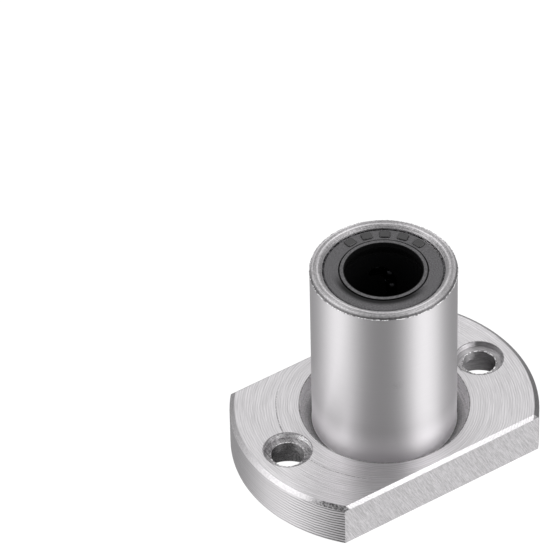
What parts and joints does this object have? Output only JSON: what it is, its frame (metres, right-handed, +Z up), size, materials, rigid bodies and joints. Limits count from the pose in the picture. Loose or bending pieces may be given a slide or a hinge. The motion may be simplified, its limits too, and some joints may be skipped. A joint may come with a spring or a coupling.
{
  "type": "flanged linear ball bearing",
  "caption": "Steel linear ball bushing with a side-cut flange for a round shaft, rubber seals at its ends and recirculating balls in a moulded cage.",
  "frame": {"origin": "centre of the flange's underside, on the shaft's axis", "axes": "+Z up the tube along the shaft, +X along the flange's length through both bolt holes"},
  "size_m": [0.032, 0.021, 0.024],
  "materials": {
    "ground_bearing_steel": "turned and ground",
    "spring_steel": "dark blued wire",
    "polished_ball_steel": "polished",
    "cage_resin": "moulded",
    "seal_rubber": "moulded matt"
  },
  "bodies": {
    "housing": {"flanged_sleeve": "ground_bearing_steel", "ball_cage": "cage_resin", "upper_seal": "seal_rubber", "lower_seal": "seal_rubber", "upper_retaining_ring": "spring_steel", "lower_retaining_ring": "spring_steel"},
    "circuit_1_load_balls": {"circuit_1_load_balls": "polished_ball_steel"},
    "circuit_1_return_balls": {"circuit_1_return_balls": "polished_ball_steel"},
    "circuit_1_upper_turn_balls": {"circuit_1_upper_turn_balls": "polished_ball_steel"},
    "circuit_1_lower_turn_balls": {"circuit_1_lower_turn_balls": "polished_ball_steel"},
    "circuit_2_load_balls": {"circuit_2_load_balls": "polished_ball_steel"},
    "circuit_2_return_balls": {"circuit_2_return_balls": "polished_ball_steel"},
    "circuit_2_upper_turn_balls": {"circuit_2_upper_turn_balls": "polished_ball_steel"},
    "circuit_2_lower_turn_balls": {"circuit_2_lower_turn_balls": "polished_ball_steel"},
    "circuit_3_load_balls": {"circuit_3_load_balls": "polished_ball_steel"},
    "circuit_3_return_balls": {"circuit_3_return_balls": "polished_ball_steel"},
    "circuit_3_upper_turn_balls": {"circuit_3_upper_turn_balls": "polished_ball_steel"},
    "circuit_3_lower_turn_balls": {"circuit_3_lower_turn_balls": "polished_ball_steel"},
    "circuit_4_load_balls": {"circuit_4_load_balls": "polished_ball_steel"},
    "circuit_4_return_balls": {"circuit_4_return_balls": "polished_ball_steel"},
    "circuit_4_upper_turn_balls": {"circuit_4_upper_turn_balls": "polished_ball_steel"},
    "circuit_4_lower_turn_balls": {"circuit_4_lower_turn_balls": "polished_ball_steel"}
  },
  "joints": [
    {"name": "circuit_1_load_travel", "type": "slide", "parent": "housing", "child": "circuit_1_load_balls", "axis": [0, 0, 1], "range_m": [-0.00085, 0.00085]},
    {"name": "circuit_1_return_travel", "type": "slide", "parent": "housing", "child": "circuit_1_return_balls", "axis": [0, 0, -1], "range_m": [-0.00085, 0.00085]},
    {"name": "circuit_1_upper_turn_travel", "type": "hinge", "parent": "housing", "child": "circuit_1_upper_turn_balls", "pos_m": [0.00209, 0.00437, 0.01799], "axis": [-0.5946, -0.7972, 0.1045], "range_deg": [-30, 30]},
    {"name": "circuit_1_lower_turn_travel", "type": "hinge", "parent": "housing", "child": "circuit_1_lower_turn_balls", "pos_m": [0.00209, 0.00437, 0.00601], "axis": [-0.5946, -0.7972, -0.1045], "range_deg": [-30, 30]},
    {"name": "circuit_2_load_travel", "type": "slide", "parent": "housing", "child": "circuit_2_load_balls", "axis": [0, 0, 1], "range_m": [-0.00085, 0.00085]},
    {"name": "circuit_2_return_travel", "type": "slide", "parent": "housing", "child": "circuit_2_return_balls", "axis": [0, 0, -1], "range_m": [-0.00085, 0.00085]},
    {"name": "circuit_2_upper_turn_travel", "type": "hinge", "parent": "housing", "child": "circuit_2_upper_turn_balls", "pos_m": [-0.00437, 0.00209, 0.01799], "axis": [0.7972, -0.5946, 0.1045], "range_deg": [-30, 30]},
    {"name": "circuit_2_lower_turn_travel", "type": "hinge", "parent": "housing", "child": "circuit_2_lower_turn_balls", "pos_m": [-0.00437, 0.00209, 0.00601], "axis": [0.7972, -0.5946, -0.1045], "range_deg": [-30, 30]},
    {"name": "circuit_3_load_travel", "type": "slide", "parent": "housing", "child": "circuit_3_load_balls", "axis": [0, 0, 1], "range_m": [-0.00085, 0.00085]},
    {"name": "circuit_3_return_travel", "type": "slide", "parent": "housing", "child": "circuit_3_return_balls", "axis": [0, 0, -1], "range_m": [-0.00085, 0.00085]},
    {"name": "circuit_3_upper_turn_travel", "type": "hinge", "parent": "housing", "child": "circuit_3_upper_turn_balls", "pos_m": [-0.00209, -0.00437, 0.01799], "axis": [0.5946, 0.7972, 0.1045], "range_deg": [-30, 30]},
    {"name": "circuit_3_lower_turn_travel", "type": "hinge", "parent": "housing", "child": "circuit_3_lower_turn_balls", "pos_m": [-0.00209, -0.00437, 0.00601], "axis": [0.5946, 0.7972, -0.1045], "range_deg": [-30, 30]},
    {"name": "circuit_4_load_travel", "type": "slide", "parent": "housing", "child": "circuit_4_load_balls", "axis": [0, 0, 1], "range_m": [-0.00085, 0.00085]},
    {"name": "circuit_4_return_travel", "type": "slide", "parent": "housing", "child": "circuit_4_return_balls", "axis": [0, 0, -1], "range_m": [-0.00085, 0.00085]},
    {"name": "circuit_4_upper_turn_travel", "type": "hinge", "parent": "housing", "child": "circuit_4_upper_turn_balls", "pos_m": [0.00437, -0.00209, 0.01799], "axis": [-0.7972, 0.5946, 0.1045], "range_deg": [-30, 30]},
    {"name": "circuit_4_lower_turn_travel", "type": "hinge", "parent": "housing", "child": "circuit_4_lower_turn_balls", "pos_m": [0.00437, -0.00209, 0.00601], "axis": [-0.7972, 0.5946, -0.1045], "range_deg": [-30, 30]}
  ],
  "couplings": [
    {"joint": "circuit_1_return_travel", "follows": "circuit_1_load_travel", "ratio": 1},
    {"joint": "circuit_1_upper_turn_travel", "follows": "circuit_1_load_travel", "rad_per_m": 612.37},
    {"joint": "circuit_1_lower_turn_travel", "follows": "circuit_1_load_travel", "rad_per_m": 612.37},
    {"joint": "circuit_2_load_travel", "follows": "circuit_1_load_travel", "ratio": 1},
    {"joint": "circuit_2_return_travel", "follows": "circuit_1_load_travel", "ratio": 1},
    {"joint": "circuit_2_upper_turn_travel", "follows": "circuit_1_load_travel", "rad_per_m": 612.37},
    {"joint": "circuit_2_lower_turn_travel", "follows": "circuit_1_load_travel", "rad_per_m": 612.37},
    {"joint": "circuit_3_load_travel", "follows": "circuit_1_load_travel", "ratio": 1},
    {"joint": "circuit_3_return_travel", "follows": "circuit_1_load_travel", "ratio": 1},
    {"joint": "circuit_3_upper_turn_travel", "follows": "circuit_1_load_travel", "rad_per_m": 612.37},
    {"joint": "circuit_3_lower_turn_travel", "follows": "circuit_1_load_travel", "rad_per_m": 612.37},
    {"joint": "circuit_4_load_travel", "follows": "circuit_1_load_travel", "ratio": 1},
    {"joint": "circuit_4_return_travel", "follows": "circuit_1_load_travel", "ratio": 1},
    {"joint": "circuit_4_upper_turn_travel", "follows": "circuit_1_load_travel", "rad_per_m": 612.37},
    {"joint": "circuit_4_lower_turn_travel", "follows": "circuit_1_load_travel", "rad_per_m": 612.37}
  ]
}
